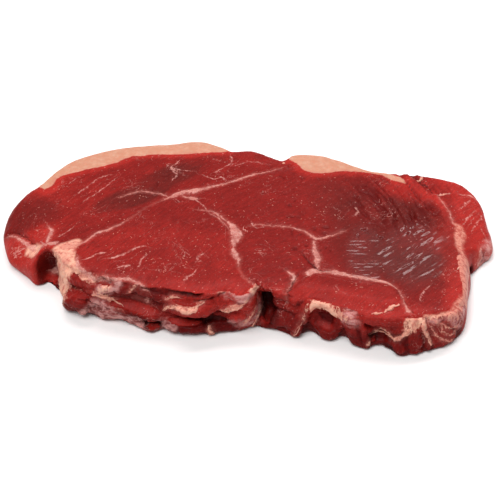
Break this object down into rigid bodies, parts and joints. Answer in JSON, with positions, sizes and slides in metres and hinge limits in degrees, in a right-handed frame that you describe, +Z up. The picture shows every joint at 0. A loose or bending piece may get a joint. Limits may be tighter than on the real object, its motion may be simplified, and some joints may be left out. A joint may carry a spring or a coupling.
{
  "type": "raw rump steak",
  "caption": "Thick raw rump steak lying flat, with a rounded fat cap along one edge, seams of fat between its muscles and a ragged, folded opposite edge.",
  "frame": {"origin": "middle of the slice's outline, on the face that it lies on", "axes": "+X along the slice, towards the end whose lobe thins out; +Y towards the fat cap; +Z up, through its thickness"},
  "size_m": [0.2756, 0.1688, 0.0286],
  "materials": {
    "raw_meat": "raw beef with seams and flecks of fat, moist and slightly glossy",
    "fat": "cream to peach beef fat, waxy, with a soft shine"
  },
  "bodies": {
    "root": {"steak": "raw_meat"}
  },
  "joints": []
}
